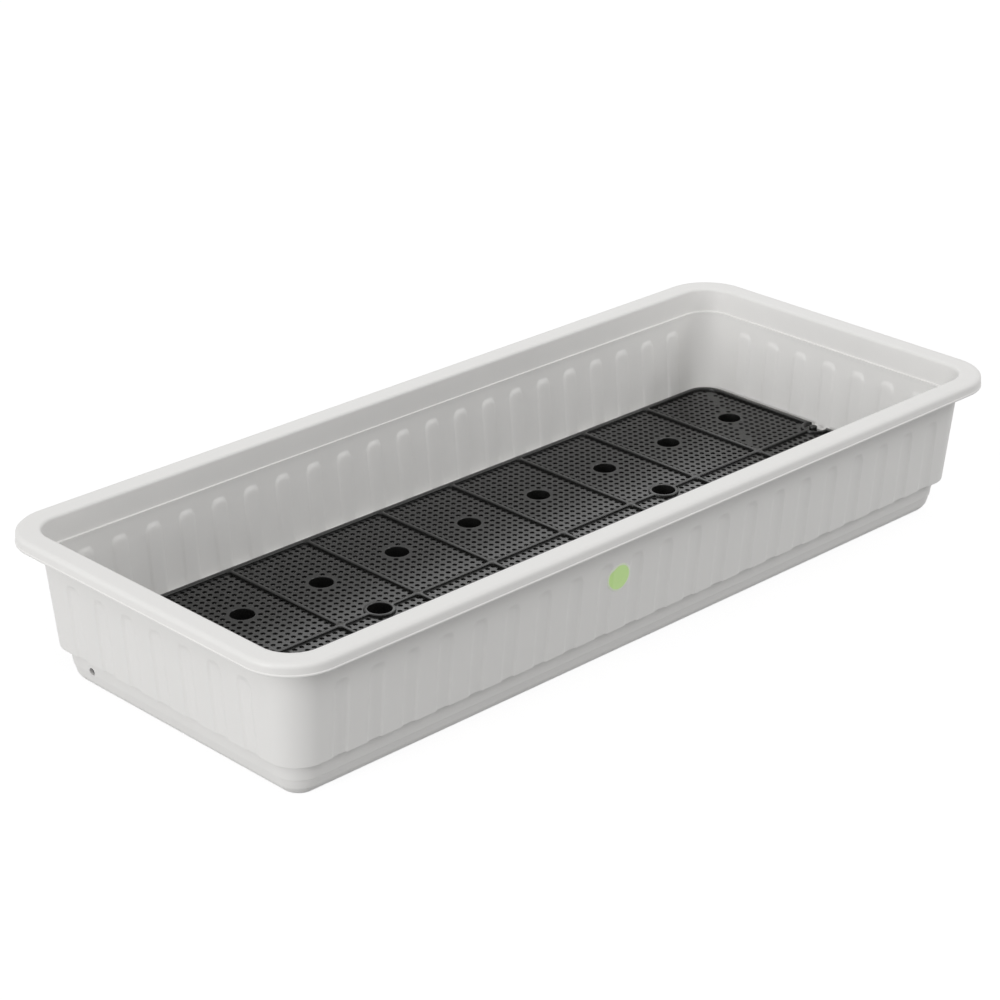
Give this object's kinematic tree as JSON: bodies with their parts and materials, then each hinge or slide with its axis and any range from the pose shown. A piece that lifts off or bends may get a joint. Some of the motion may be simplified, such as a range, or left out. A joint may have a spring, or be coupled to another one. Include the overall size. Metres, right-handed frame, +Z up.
{
  "type": "rectangular grow tray",
  "caption": "Long fluted plastic trough with a flat rim and a recessed plinth, holding a perforated lift-out grate on hollow wells above a water space.",
  "frame": {"origin": "middle of the plane the tray stands on", "axes": "+X along the trough towards the end with the peg, +Y towards the back wall, +Z up; the label is on the -Y wall"},
  "size_m": [1, 0.427, 0.158],
  "materials": {
    "trough_plastic": "light grey moulded plastic with a faint satin sheen",
    "grate_plastic": "black moulded plastic, satin",
    "peg_plastic": "black moulded plastic, satin",
    "label_film": "pale green printed film with a paler rim, bare"
  },
  "bodies": {
    "trough": {"trough": "trough_plastic", "locating_peg": "peg_plastic", "label": "label_film"},
    "grate": {"grate": "grate_plastic"}
  },
  "joints": [
    {"name": "grate_lift", "type": "slide", "parent": "trough", "child": "grate", "axis": [0, 0, 1], "range_m": [0, 0.16]}
  ]
}
